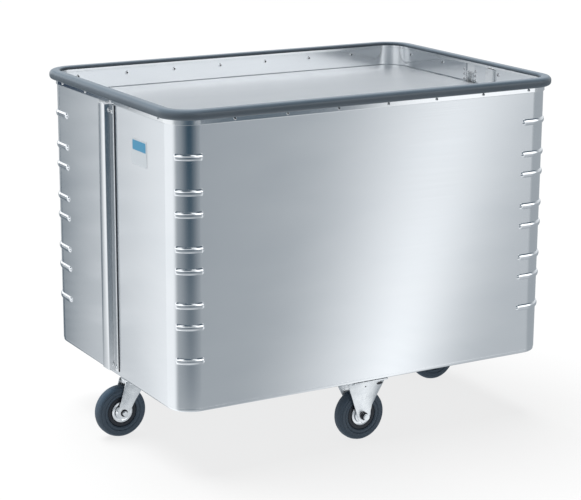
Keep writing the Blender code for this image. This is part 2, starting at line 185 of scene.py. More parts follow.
def joined(*shapes):
    """Several shapes as one."""
    verts, faces = [], []
    for more_verts, more_faces in shapes:
        base = len(verts)
        verts += more_verts
        faces += [tuple(base + i for i in face) for face in more_faces]
    return verts, faces


def moved(shape, matrix):
    return [tuple(matrix @ Vector(v)) for v in shape[0]], shape[1]


def linked(name, mesh):
    """A new object in the scene."""
    obj = bpy.data.objects.new(name, mesh)
    bpy.context.scene.collection.objects.link(obj)
    return obj


def piece(name, shape, mat, body, place=MIDDLE, stands_for=(), slot=None, bevel=0.0, sharp=32):
    """A new visible piece that rides on a CAD body. Edges that turn by more than sharp degrees stay crisp.

    Its slot is worked out, from its material unless another is given, but it is not kept.
    """
    bm = bmesh.new()
    verts = [bm.verts.new(place @ Vector(v)) for v in shape[0]]
    for face in shape[1]:
        bm.faces.new([verts[i] for i in face])
    bmesh.ops.remove_doubles(bm, verts=bm.verts, dist=1e-5)
    bmesh.ops.dissolve_degenerate(bm, edges=bm.edges, dist=1e-6)
    if all(edge.is_manifold for edge in bm.edges):
        bmesh.ops.recalc_face_normals(bm, faces=bm.faces)
    for face in bm.faces:
        face.smooth = True
    for edge in bm.edges:
        if len(edge.link_faces) < 2 or edge.calc_face_angle(0.0) > radians(sharp):
            edge.smooth = False
    mesh = bpy.data.meshes.new(name)
    bm.to_mesh(mesh)
    bm.free()
    mesh.materials.append(mat)
    obj = linked(name, mesh)
    if bevel:
        soft = obj.modifiers.new("edges", "BEVEL")
        soft.width = bevel
        soft.segments = 3
        soft.limit_method = "ANGLE"
        soft.angle_limit = radians(sharp)
        soft.harden_normals = True
    if body:
        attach(obj, body)
    if stands_for:
        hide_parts(*stands_for)
    slot = slot or SLOTS[mat]
    return obj


# ---------------------------------------------------------------- materials

class Nodes:
    """Short calls for building one material."""

    def __init__(self, name):
        self.mat = bpy.data.materials.new(name)
        self.mat.use_nodes = True
        self.tree = self.mat.node_tree
        self.shader = self.tree.nodes["Principled BSDF"]
        self.coords = self.tree.nodes.new("ShaderNodeTexCoord")

    def new(self, kind, links=(), **values):
        node = self.tree.nodes.new("ShaderNode" + kind)
        for key, value in values.items():
            if hasattr(node, key):
                setattr(node, key, value)
            else:
                node.inputs[key.replace("_", " ")].default_value = value
        for socket, source in dict(links).items():
            self.tree.links.new(source, node.inputs[socket])
        return node

    def noise(self, stretch, detail=3.0):
        """Noise in the object's own coordinates, scaled along X, Y and Z."""
        place = self.new("Mapping", {"Vector": self.coords.outputs["Object"]}, Scale=stretch)
        links = {"Vector": place.outputs["Vector"]}
        return self.new("TexNoise", links, Scale=1.0, Detail=detail, Roughness=0.55).outputs["Fac"]

    def span(self, source, low, high, from_low=0.3, from_high=0.7):
        """source carried from its usual range to low..high."""
        node = self.new("MapRange", {"Value": source})
        names = ("From Min", "From Max", "To Min", "To Max")
        for key, value in zip(names, (from_low, from_high, low, high)):
            node.inputs[key].default_value = value
        return node.outputs["Result"]

    def blend(self, fac, first, second):
        """A mix of two colours."""
        node = self.new("Mix", data_type="RGBA")
        self.tree.links.new(fac, node.inputs[0])
        for socket, colour in ((6, first), (7, second)):
            node.inputs[socket].default_value = (*colour, 1)
        return node.outputs[2]

    def sum(self, first, second):
        return self.new("Math", {0: first, 1: second}, operation="ADD").outputs[0]

    def bump(self, height, distance, strength):
        return self.new("Bump", {"Height": height}, Strength=strength, Distance=distance).outputs["Normal"]

    def feed(self, **sockets):
        """Links or plain values for the shader's sockets."""
        for key, value in sockets.items():
            name = key.replace("_", " ")
            if hasattr(value, "links"):
                self.tree.links.new(value, self.shader.inputs[name])
            else:
                self.shader.inputs[name].default_value = value
        return self.mat


def metal(name, dark, light, rough, grain, spread=0.03, anisotropy=0.0):
    """Metal with a drawn or rolled grain: grain is the noise scale along X, Y and Z."""
    n = Nodes(name)
    fine = n.noise(grain, 4.0)
    broad = n.noise(tuple(min(g, 9.0) for g in grain), 2.0)
    tint = n.blend(n.span(broad, 0.0, 1.0), dark, light)
    mat = n.feed(Base_Color=tint, Metallic=1.0, Normal=n.bump(fine, 0.00002, 0.6))
    n.feed(Roughness=n.span(n.sum(fine, broad), rough - spread, rough + spread, 0.7, 1.3))
    if anisotropy:
        tangent = n.new("Tangent", direction_type="RADIAL", axis="Z")
        n.feed(Anisotropic=anisotropy, Tangent=tangent.outputs["Tangent"])
    return mat


def zinc(name, dark, light, rough):
    """Zinc plating: fine mottling over pressed steel."""
    n = Nodes(name)
    cells = n.new("TexVoronoi", {"Vector": n.coords.outputs["Object"]}, Scale=160.0)
    clouds = n.noise((60.0, 60.0, 60.0), 5.0)
    tint = n.blend(n.span(clouds, 0.0, 1.0), dark, light)
    sheen = n.span(n.sum(clouds, cells.outputs["Distance"]), rough - 0.06, rough + 0.08, 0.6, 1.4)
    return n.feed(Base_Color=tint, Metallic=1.0, Roughness=sheen, Normal=n.bump(clouds, 0.00008, 0.4))


def plastic(name, dark, light, rough, scale, bump):
    """Plastic or rubber with a fine grain of the given scale."""
    n = Nodes(name)
    fine = n.noise((scale, scale, scale), 4.0)
    broad = n.noise((7.0, 7.0, 7.0), 4.0)
    tint = n.blend(n.span(broad, 0.0, 1.0), dark, light)
    sheen = n.span(n.sum(fine, broad), rough - 0.08, rough + 0.08, 0.7, 1.3)
    return n.feed(Base_Color=tint, Roughness=sheen, Normal=n.bump(fine, bump, 0.5))


BRIGHT = ((0.90, 0.905, 0.91), (0.94, 0.945, 0.95))
SHEET_METAL = metal("satin_aluminium", (0.86, 0.875, 0.89), (0.90, 0.91, 0.92), 0.12, (3.0, 3.0, 700.0),
                    0.02, anisotropy=0.6)
FLOOR_METAL = metal("floor_aluminium", (0.82, 0.835, 0.85), (0.87, 0.88, 0.89), 0.46, (3.0, 700.0, 60.0))
DRAWN_METAL = metal("drawn_aluminium", *BRIGHT, 0.09, (4.0, 4.0, 900.0), 0.01)
COLUMN_METAL = metal("column_aluminium", *BRIGHT, 0.17, (900.0, 900.0, 4.0), 0.02)
ZINC = zinc("zinc_plate", (0.70, 0.72, 0.74), (0.86, 0.875, 0.88), 0.27)
HUB = zinc("hub_zinc", (0.74, 0.76, 0.78), (0.88, 0.89, 0.90), 0.20)
BUMPER = plastic("grey_bumper", (0.060, 0.082, 0.104), (0.080, 0.104, 0.128), 0.34, 900.0, 0.00004)
TYRE = plastic("grey_rubber", (0.026, 0.046, 0.070), (0.038, 0.062, 0.090), 0.50, 1400.0, 0.00008)
BLACK = plastic("black_nylon", (0.001, 0.004, 0.010), (0.003, 0.007, 0.014), 0.50, 800.0, 0.00004)
NYLON = plastic("white_nylon", (0.74, 0.74, 0.71), (0.82, 0.82, 0.80), 0.45, 600.0, 0.00004)
STEEL = metal("spring_steel", (0.36, 0.37, 0.39), (0.50, 0.51, 0.53), 0.28, (500.0, 500.0, 500.0), 0.05)
# Near-black stand-in for the shade inside holes and sockets and under bolt heads: painted shade.
RECESS_SHADE = plastic("painted_recess_shade", (0.006, 0.008, 0.012), (0.014, 0.016, 0.022), 0.60, 900.0, 0.00002)

SLOTS = {SHEET_METAL: "satin_aluminium", FLOOR_METAL: "satin_aluminium", DRAWN_METAL: "aluminium_profile",
         COLUMN_METAL: "aluminium_profile", ZINC: "zinc_plate", HUB: "zinc_plate", BUMPER: "grey_bumper",
         TYRE: "grey_rubber", BLACK: "black_nylon", NYLON: "white_nylon", STEEL: "spring_steel"}


# ---------------------------------------------------------------- box and rim

BEAD_FIRST = 0.118
BEAD_STEPS = (0.0775, 0.049)
BEAD_COUNT = 8
BEAD_HALF = 0.0076
BEAD_HEIGHT = 0.0040
BEAD_ROWS = 10      # mesh rows from a bead's middle to its edge
BEAD_COLUMNS = 8    # mesh columns from a bead's round end's middle to its tip
FRONT_COLUMNS = 12
CORNER_COLUMNS = 28
WALL_HEAD = RIM_TOP - 0.0091
SHORT_BEAD_LEAD = radians(29)
SHORT_BEAD_TAIL = 0.008
LONG_BEAD_LEAD = 0.030
LONG_BEAD_TAIL = 0.048


def wall_stations():
    """Lengths along the front sheet at which its path turns, from the left slot to the right one."""
    arc = CORNER_R * pi / 2
    lengths = (SEAM_OFFSET - SLOT_W / 2 + HALF_W - CORNER_R, arc, 2 * (HALF_L - CORNER_R), arc,
               -SEAM_OFFSET - SLOT_W / 2 + HALF_W - CORNER_R)
    stations = [0.0]
    for length in lengths:
        stations.append(stations[-1] + length)
    return stations


def wall_point(s):
    """Point and outward direction of the front sheet's outer face at length s."""
    _, corner_a, front, corner_b, leaf, _ = wall_stations()
    side = HALF_L - CORNER_R
    low = -HALF_W + CORNER_R
    if s <= corner_a:
        return (-HALF_L, SEAM_OFFSET - SLOT_W / 2 - s), (-1.0, 0.0)
    if s >= leaf:
        return (HALF_L, low + s - leaf), (1.0, 0.0)
    if front < s < corner_b:
        return (-side + s - front, -HALF_W), (0.0, -1.0)
    left = s <= front
    angle = pi + (s - corner_a) / CORNER_R if left else 1.5 * pi + (s - corner_b) / CORNER_R
    out = (cos(angle), sin(angle))
    return ((-side if left else side) + CORNER_R * out[0], low + CORNER_R * out[1]), out


def bead_lines():
    """Where each corner's beads start and end along the sheet, to the middle of their round ends."""
    _, corner_a, front, corner_b, leaf, _ = wall_stations()
    half = BEAD_HALF
    return ((corner_a + SHORT_BEAD_LEAD * CORNER_R + half, front + SHORT_BEAD_TAIL - half),
            (corner_b - LONG_BEAD_LEAD + half, leaf + LONG_BEAD_TAIL - half))


def bead_middles():
    """Heights of the beads' middles, at two alternating steps."""
    heights = [BODY_BOTTOM + BEAD_FIRST]
    for i in range(BEAD_COUNT - 1):
        heights.append(heights[-1] + BEAD_STEPS[i % 2])
    return heights


def bead_rise(s, z, middles, lines):
    """How far the beads push the sheet out at length s and height z."""
    for middle in middles:
        if abs(z - middle) >= BEAD_HALF:
            continue
        for start, end in lines:
            away = hypot(max(start - s, 0.0, s - end), z - middle) / BEAD_HALF
            if away < 1.0:
                return BEAD_HEIGHT * (1 - away * away) ** 0.6
    return 0.0


def wall_sheet():
    """A wall sheet bent round two corners, with the beads pressed out of it."""
    stations = wall_stations()
    lines = bead_lines()
    across = set(round(s, 6) for s in stations)
    across.update(round(s + GUARD, 6) for s in (stations[2], stations[4]))
    across.update(round(s - GUARD, 6) for s in (stations[1], stations[3]))
    for first, columns in ((1, CORNER_COLUMNS), (2, FRONT_COLUMNS), (3, CORNER_COLUMNS)):
        start, end = stations[first], stations[first + 1]
        across.update(round(start + (end - start) * i / columns, 6) for i in range(columns))
    for line in lines:
        for middle in line:
            steps = range(-BEAD_COLUMNS, BEAD_COLUMNS + 1)
            across.update(round(middle + BEAD_HALF * k / BEAD_COLUMNS, 6) for k in steps)
            across.update(round(middle + side * (BEAD_HALF + GUARD), 6) for side in (-1, 1))
    across = sorted(across)
    middles = bead_middles()
    up = {SHELL_BOTTOM, SHELL_BOTTOM + GUARD, WALL_HEAD - GUARD, WALL_HEAD}
    for middle in middles:
        up.update(round(middle + BEAD_HALF * k / BEAD_ROWS, 6) for k in range(-BEAD_ROWS, BEAD_ROWS + 1))
        up.update(round(middle + side * (BEAD_HALF + GUARD / 2), 6) for side in (-1, 1))
    up = sorted(up)
    rings = []
    for z in up:
        ring = []
        for s in across:
            (x, y), out = wall_point(s)
            rise = bead_rise(s, z, middles, lines)
            ring.append((x + out[0] * rise, y + out[1] * rise, z))
        rings.append(ring)
    return loft(rings, caps=False, wrap=False)


for name, side in (("front_shell", "left"), ("rear_shell", "right")):
    shell = piece(name + "_sheet", wall_sheet(), SHEET_METAL, "cart", ENDS[side], [name])
    thick = shell.modifiers.new("sheet", "SOLIDIFY")
    thick.thickness = SHEET
    thick.offset = -1.0

INNER = -SHEET - GAP
LEG = INNER - 0.0022
STRIP = GAP + 0.0025
STRIP_LEAN = 0.0008
STRIP_FACE_H = 0.016
RAIL_TOP = RIM_TOP - 0.006
ROOF = RAIL_TOP - 0.0025
LEG_BOTTOM = RIM_TOP - 0.0145
strip_face = [(STRIP - STRIP_LEAN * t, STRIP_BOTTOM + STRIP_FACE_H * t) for t in (0.1, 0.9, 1.0)]
rail = [(STRIP, STRIP_BOTTOM, 0.0008)] + strip_face
rail += [(STRIP - STRIP_LEAN, RAIL_TOP), (LEG, RAIL_TOP), (LEG, LEG_BOTTOM, 0.0008),
         (INNER, LEG_BOTTOM, 0.0005), (INNER, ROOF), (GAP, ROOF), (GAP, STRIP_BOTTOM, 0.0006)]
piece("rim_rail_profile", loft(outline_rings(rounded(rail)), closed=True), DRAWN_METAL, "cart", MIDDLE,
      ["rim_rail"])

OUT = HIGH.x - BX - HALF_L
LIP = LEG - GAP - 0.0027
LIP_BOTTOM = RIM_TOP - 0.008
GROOVE_ROOF = RAIL_TOP + GAP
bumper = [(STRIP + GAP, LOW.z, 0.0008), (OUT, LOW.z, 0.0085), (OUT, RIM_TOP, 0.0100),
          (LIP, RIM_TOP, 0.0042), (LIP, LIP_BOTTOM, 0.0009), (LEG - GAP, LIP_BOTTOM),
          (LEG - GAP, GROOVE_ROOF), (STRIP + GAP, GROOVE_ROOF)]
piece("rim_bumper_profile", loft(outline_rings(rounded(bumper, 8)), closed=True), BUMPER, "cart", MIDDLE,
      ["rim_bumper"])

TRAY_TOP = 0.190
TRAY_T = 0.003
BAND = -0.001
BAND_TOP = SHELL_BOTTOM - GAP
tray = [(-0.030, BODY_BOTTOM), (BAND, BODY_BOTTOM, 0.0030), (BAND, BAND_TOP, 0.0004), (INNER, BAND_TOP),
        (INNER, TRAY_TOP), (INNER - SHEET, TRAY_TOP), (INNER - SHEET, BODY_BOTTOM + TRAY_T)]
piece("base_tray_sheet", loft(outline_rings(rounded(tray))), SHEET_METAL, "cart", MIDDLE, ["base_tray"])


# ---------------------------------------------------------------- sprung floor

FLOOR_CLEARANCE = 0.004
EDGE = -SHEET - FLOOR_CLEARANCE
GUIDE_Y = 0.096
NOTCH_HALF = 0.0245
NOTCH_DEPTH = 0.0045
deck = [(EDGE - SHEET, FLOOR_TOP - SHEET), (EDGE - SHEET, HEM), (EDGE, HEM), (EDGE, FLOOR_TOP, 0.0035),
        (-0.045, FLOOR_TOP)]
deck_rings = outline_rings(rounded(deck, 5, closed=False))
# Each broad face is a fan round its middle point.
under_middle, top_middle = [[(0, 0, z)] * len(deck_rings[0]) for z in (deck_rings[0][0][2], FLOOR_TOP)]
deck_shape = loft([under_middle] + deck_rings + [top_middle], caps=False)
floor_deck = piece("sprung_floor_deck", deck_shape, FLOOR_METAL, "floor", MIDDLE, ["sprung_floor"])
notch_near, notch_far = -HALF_L - EDGE - 0.002, -HALF_L - EDGE + NOTCH_DEPTH
for side, place in ENDS.items():
    notch = rectangle((notch_near, GUIDE_Y - NOTCH_HALF), (notch_far, GUIDE_Y + NOTCH_HALF), 0)
    notch = extruded(notch, HEM - 0.01, FLOOR_TOP + 0.01)
    cutter_mesh = bpy.data.meshes.new("notch_" + side)
    cutter_mesh.from_pydata([tuple(place @ Vector(v)) for v in notch[0]], [], notch[1])
    cutter = linked("notch_" + side, cutter_mesh)
    cut = floor_deck.modifiers.new("notch_" + side, "BOOLEAN")
    cut.object = cutter
    bpy.context.view_layer.objects.active = floor_deck
    bpy.ops.object.modifier_apply(modifier=cut.name)
    bpy.data.objects.remove(cutter)
for face in floor_deck.data.polygons:
    face.use_smooth = abs(face.normal.z) < 0.999 and face.area < 0.5


def fastener_axis(place, x, y, z, out):
    """Frame at a fastener: its Z points out along the given direction."""
    return place @ Matrix.Translation((x, y, z)) @ Vector(out).to_track_quat("Z", "Y").to_matrix().to_4x4()


# The second and fourth profiles shape a near-black disc sunk in the head's hollow: painted shade of the
# rivet's hole.
RIVET_HEAD = [(0.0, 0.0010), (0.0020, 0.0010), (0.0022, 0.0017), (0.0029, 0.0014), (0.0035, 0.0004),
              (0.0036, -0.0002)]
RIVET_HOLLOW_SHADE = [(0.0, 0.00125), (0.0017, 0.00115), (0.0020, 0.0009), (0.0020, 0.0002)]
TAIL_HEAD = [(0.0, 0.0006), (0.0021, 0.0006), (0.0024, 0.0020), (0.0036, 0.0020), (0.0046, 0.0008),
             (0.0047, -0.0002)]
TAIL_HOLLOW_SHADE = [(0.0, 0.0011), (0.0019, 0.0010), (0.0021, 0.0008), (0.0021, 0.0002)]


def rivets(name, frames, head=RIVET_HEAD, hollow_shade=RIVET_HOLLOW_SHADE):
    """A row of blind rivets: bright heads, each with a near-black disc in its hollow that is painted shade of
    the hole.
    """
    for part, profile, steps, mat in (("heads", head, 16, DRAWN_METAL), ("hollow_shades", hollow_shade, 12, RECESS_SHADE)):
        shapes = [moved(lathed(profile, steps), frame_at) for frame_at in frames]
        piece(name + "_" + part, joined(*shapes), mat, "cart", WORLD, slot="aluminium_profile", sharp=50)


RIVET_Z = 0.8100
RIVET_PITCH = 0.1309
RIVET_SHIFT = 0.033
LONG_ROW = [(i - 3) * RIVET_PITCH + RIVET_SHIFT for i in range(7)]
END_ROW = (-0.264, -0.116, 0.126, 0.260)
OUTER_END_ROW = END_ROW + (-0.013,)
for side, place in ENDS.items():
    outer = [fastener_axis(place, x, -HALF_W - STRIP, RIVET_Z, (0, -1, 0)) for x in LONG_ROW]
    outer += [fastener_axis(place, -HALF_L - STRIP, y, RIVET_Z, (-1, 0, 0)) for y in OUTER_END_ROW]
    rivets("rim_rivets_" + side, outer)
    inner = [fastener_axis(place, x, -HALF_W + SHEET, RIVET_Z, (0, 1, 0)) for x in LONG_ROW]
    inner += [fastener_axis(place, -HALF_L + SHEET, y, RIVET_Z, (1, 0, 0)) for y in END_ROW]
    rivets("rim_rivet_tails_" + side, inner, head=TAIL_HEAD, hollow_shade=TAIL_HOLLOW_SHADE)


# ---------------------------------------------------------------- columns, guides, springs

COLUMN_W = 0.036
COLUMN_DEPTH = 0.016
COLUMN_FOOT = 0.020
COLUMN_BOTTOM = 0.170
BEND = 0.0022
TIGHT = BEND - SHEET * 0.9
CLEAR = 0.0005    # clearance between a profile's end and its neighbour
SHADOW_STRIP_W = 0.0033
SHADOW_STRIP_T = 0.0009
WALL_FACE = HALF_L + 0.0001


def hat():
    """The column's hat section, open towards the slot."""
    wall = -HALF_L - GAP
    face = -HALF_L - COLUMN_DEPTH
    half = COLUMN_W / 2
    foot = half + COLUMN_FOOT
    return twinned([(face, half, BEND), (wall - SHEET, half, TIGHT), (wall - SHEET, foot, 0.0008),
                    (wall, foot, 0.0004), (wall, half - SHEET, BEND), (face + SHEET, half - SHEET, TIGHT)])


for side, seam in SEAMS.items():
    piece("guide_column_%s_profile" % side, extruded(rounded(hat()), COLUMN_BOTTOM, STRIP_BOTTOM - CLEAR),
          COLUMN_METAL, "cart", seam, ["guide_column_" + side], bevel=0.0003)
    foot = COLUMN_W / 2 + COLUMN_FOOT
    # Thin black strips along both feet's edges: painted shadow of the gap between the column and the wall.
    shadow_strips = []
    for low in (-foot - SHADOW_STRIP_W - 0.0002, foot + 0.0002):
        shadow_strip = rounded([(-WALL_FACE, low, 0.0002), (-WALL_FACE - SHADOW_STRIP_T, low, 0.0005),
                        (-WALL_FACE - SHADOW_STRIP_T, low + SHADOW_STRIP_W, 0.0005), (-WALL_FACE, low + SHADOW_STRIP_W, 0.0002)])
        shadow_strips.append(extruded(shadow_strip, COLUMN_BOTTOM, STRIP_BOTTOM - CLEAR))
    piece("column_seal_" + side, joined(*shadow_strips), BLACK, "cart", seam)


SCREW_HEAD = [(0.0, 0.0050), (0.0021, 0.0050), (0.0026, 0.0056), (0.0036, 0.0052), (0.0050, 0.0038),
              (0.0055, 0.0027), (0.0055, 0.0024), (0.0028, 0.0023), (0.0028, 0.0005), (0.0, 0.0005)]
SOCKET_SHADE = [(0.0, 0.0053), (0.0024, 0.0053), (0.0024, 0.0042), (0.0, 0.0042)]
SCREW_OFFSET = 0.029
SCREW_HEIGHTS = (0.180, 0.787)
SLOT_RIVET_OFFSET = SLOT_W / 2 + 0.006
SLOT_RIVET_HEIGHTS = (0.783, 0.7945, 0.806)

for side, seam in SEAMS.items():
    number = 0
    for y in (-SCREW_OFFSET, SCREW_OFFSET):
        for z in SCREW_HEIGHTS:
            number += 1
            spot = fastener_axis(seam, -HALF_L, y, z, (-1, 0, 0))
            node = "column_screw_%s_%d" % (side, number)
            piece(node + "_head", lathed(SCREW_HEAD, 24), ZINC, "cart", spot, [node], sharp=50)
            # The socket piece is a near-black hexagon set into the head: painted shade of the recess.
            piece(node + "_socket", lathed(SOCKET_SHADE, 6), RECESS_SHADE, "cart", spot, slot="zinc_plate")
    pairs = [fastener_axis(seam, -HALF_L + SHEET, y, z, (1, 0, 0))
             for y in (-SLOT_RIVET_OFFSET, SLOT_RIVET_OFFSET) for z in SLOT_RIVET_HEIGHTS]
    rivets("slot_rivets_" + side, pairs)


GUIDE_W = 0.031
GUIDE_DEPTH = 0.007
for side, end in ENDS.items():
    wall = -HALF_L + SHEET + GAP
    face = wall + GUIDE_DEPTH
    half = GUIDE_W / 2
    channel = twinned([(face, half, BEND), (wall, half, 0.0004), (wall, half - SHEET, 0.0004),
                       (face - SHEET, half - SHEET, TIGHT)], GUIDE_Y)
    piece("guide_rail_%s_profile" % side, extruded(rounded(channel), TRAY_TOP + CLEAR, LEG_BOTTOM - CLEAR),
          COLUMN_METAL, "cart", end, ["guide_rail_" + side], bevel=0.0003)


# ---------------------------------------------------------------- spring gear and floor fittings

SPRING_R = 0.0063
SPRING_SPREAD = 0.0078
SPRING_DEPTH = 0.006
WIRE_R = 0.0009
COIL_PITCH = 0.0021
SHELF_BOTTOM, SHELF_TOP = [end.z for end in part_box("spring_anchor_left")]
YOKE_BOTTOM, YOKE_TOP = [end.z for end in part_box("spring_yoke_left")]
PIN_R = 0.003
PIN_HALF = 0.0135
PIN_Z = YOKE_BOTTOM + 0.006
COIL_STEPS = 12
HOOK = 0.0080


def tube(path, radius, sides=8):
    """A round wire along a path of points."""
    rings = []
    side = None
    turns = [2 * pi * k / sides for k in range(sides)]
    for i, point in enumerate(path):
        ahead = Vector(path[min(i + 1, len(path) - 1)]) - Vector(path[max(i - 1, 0)])
        ahead.normalize()
        side = ahead.orthogonal() if side is None else side - ahead * side.dot(ahead)
        side.normalize()
        other = ahead.cross(side)
        rings.append([tuple(Vector(point) + (side * cos(turn) + other * sin(turn)) * radius)
                      for turn in turns])
    return loft(rings)


def coil_path(top, low):
    """A tension spring's wire: straight hook ends and closed coils between them."""
    radius = SPRING_R - WIRE_R
    start, end = top - HOOK, low + HOOK
    count = round((start - end) / COIL_PITCH) * COIL_STEPS
    coils = []
    for i in range(count + 1):
        angle = 2 * pi * i / COIL_STEPS
        coils.append((radius * cos(angle), radius * sin(angle), start + (end - start) * i / count))
    lead = [(0, 0, top - WIRE_R), (0, 0, top - 0.0040), (radius * 0.5, -0.0010, top - 0.0062)]
    tail = [(radius * 0.5, 0.0010, low + 0.0062), (0, 0, low + 0.0040), (0, 0, low + WIRE_R)]
    return lead + coils + tail


for side, seam in SEAMS.items():
    middle = -HALF_L - SPRING_DEPTH
    face = -HALF_L - COLUMN_DEPTH + SHEET + CLEAR
    lip = SHELF_BOTTOM + 0.004
    bracket = rounded([(face, SHELF_BOTTOM, 0.0030), (face + 0.012, SHELF_BOTTOM, 0.0008),
                       (face + 0.012, lip, 0.0008), (face + 0.003, lip, 0.0015),
                       (face + 0.003, SHELF_TOP, 0.0008), (face, SHELF_TOP, 0.0008)])
    piece("spring_anchor_%s_bracket" % side, extruded(bracket, -0.0150, 0.0150, "Y"), ZINC, "cart", seam,
          ["spring_anchor_" + side], bevel=0.0004)
    top = SHELF_BOTTOM - GAP
    low = PIN_Z + PIN_R + GAP
    for number, y in enumerate((-SPRING_SPREAD, SPRING_SPREAD), 1):
        node = "tension_spring_%s_%d" % (side, number)
        place = seam @ Matrix.Translation((middle, y, 0))
        coil = piece(node + "_coil", tube(coil_path(top, low), WIRE_R), STEEL, None, place, [node])
        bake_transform(coil)
    skirt = -HALF_L + SHEET + FLOOR_CLEARANCE + SHEET + GAP
    plate = rounded(twinned([(0.030, YOKE_BOTTOM, 0.010), (0.030, YOKE_TOP, 0.003)], along=0), 6)
    neck = rectangle((-0.004, YOKE_BOTTOM), (0.004, YOKE_BOTTOM + 0.012), 0.001, 3)
    pin = [(0.0, -PIN_HALF), (0.0024, -PIN_HALF), (PIN_R, -PIN_HALF + 0.0006), (PIN_R, PIN_HALF - 0.0006),
           (0.0024, PIN_HALF), (0.0, PIN_HALF)]
    pin = moved(lathed(pin, 20), Matrix.Translation((middle, 0, PIN_Z)) @ ALONG_Y)
    plate = extruded(plate, skirt, skirt + 0.003, "X")
    neck = extruded(neck, middle - 0.004, skirt + 0.001, "X")
    piece("spring_yoke_%s_plate" % side, joined(plate, neck, pin), ZINC, "floor", seam,
          ["spring_yoke_" + side], bevel=0.0005)

SHOE_LOW, SHOE_HIGH = [end.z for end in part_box("guide_shoe_left")]
SHOE_HALF = 0.040
CHEEK_HALF = 0.0235
for side, end in ENDS.items():
    wall = -HALF_L + SHEET + GAP
    back_face = wall + 0.0060
    face = wall + GUIDE_DEPTH + 0.0004
    tip = wall + 0.001
    run = GUIDE_W / 2 + 0.0004
    shoe = twinned([(back_face + 0.010, SHOE_HALF, 0.002), (back_face, SHOE_HALF, 0.001),
                    (back_face, CHEEK_HALF, 0.001), (tip, CHEEK_HALF, 0.001), (tip, run, 0.0006),
                    (face, run, 0.0006)], GUIDE_Y)
    piece("guide_shoe_%s_block" % side, extruded(rounded(shoe, 3), SHOE_LOW, SHOE_HIGH), NYLON, "floor", end,
          ["guide_shoe_" + side], bevel=0.0005)
    heads = [moved(lathed(SCREW_HEAD, 20), fastener_axis(end, back_face + 0.0078, GUIDE_Y + y, z, (1, 0, 0)))
             for y in (-0.031, 0.031) for z in (SHOE_LOW + 0.015, SHOE_HIGH - 0.020)]
    piece("guide_shoe_%s_screws" % side, joined(*heads), ZINC, "floor", WORLD, sharp=50)

RIB_W = 0.030
RIB_LOW, RIB_TOP = [end.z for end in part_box("floor_rib_front")]
for name in ("front", "rear"):
    lo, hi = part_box("floor_rib_" + name)
    y = (lo.y + hi.y) / 2
    half = RIB_W / 2
    section = twinned([(half, RIB_LOW, 0.0030), (half, RIB_TOP, 0.0004), (half - SHEET, RIB_TOP, 0.0004),
                       (half - SHEET, RIB_LOW + SHEET, 0.0012)], y, along=0)
    piece("floor_rib_%s_channel" % name, extruded(rounded(section), lo.x, hi.x, "X"), FLOOR_METAL, "floor",
          WORLD, ["floor_rib_" + name], bevel=0.0003)


# ---------------------------------------------------------------- castors

# Half sections of the wheel's turned pieces: (radius, half width, corner radius).
WHEEL_R = 0.0625
TYRE_SECTION = [(0.0372, 0.0125, 0.0005), (0.0400, 0.0146, 0.0006), (0.0442, 0.0148, 0.0004),
                (0.0453, 0.0136, 0.0004), (0.0468, 0.0158, 0.0006), (0.0530, 0.0160, 0.0008),
                (0.0543, 0.0144, 0.0004), (0.0556, 0.0150, 0.0004), (0.0585, 0.0138, 0.0010),
                (0.0608, 0.0108, 0.0020), (WHEEL_R, 0.0050, 0.0040)]
CENTRE_SECTION = [(0.0272, 0.0105, 0.0006), (0.0290, 0.0120, 0.0008), (0.0350, 0.0123, 0.0008),
                  (0.0367, 0.0112, 0.0005)]
HUB_SECTION = [(0.0063, 0.0192, 0.0004), (0.0110, 0.0192, 0.0012), (0.0125, 0.0150, 0.0016),
               (0.0170, 0.0128, 0.0020), (0.0215, 0.0142, 0.0012), (0.0262, 0.0128, 0.0008)]
FORK_T = 0.003
FORK_OUT = 0.0235
HEX_R = 0.0098
AXLE_R = 0.0058
PLATE_TOP = BODY_BOTTOM - GAP
CROWN_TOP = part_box("left_castor_fork")[1].z
TRAIL = 0.038
SWIVEL_X = 0.4475
FIXED_Y = 0.292
BRACKET_FLARE = 0.028
BRACKET_KNEE = 0.088
BOSS_STEPS = 7


def wheel(name, body, axle):
    """Tyre, centre and hub, each turned about the axle."""
    for part, section, mat in (("tyre", TYRE_SECTION, TYRE), ("wheel_centre", CENTRE_SECTION, BLACK),
                               ("hub", HUB_SECTION, HUB)):
        node = "%s_castor_%s" % (name, part)
        turned = lathed(rounded(twinned(section), 3), 72, closed=True)
        piece(node + "_turned", turned, mat, body, axle @ ALONG_Y, [node])


def disc(radius, low, high, cut=0.0006):
    """A short round bar along Z with softened rims."""
    profile = [(0, low), (radius, low, cut), (radius, high, cut), (0, high)]
    return lathed(rounded(profile, 3, closed=False), 32)


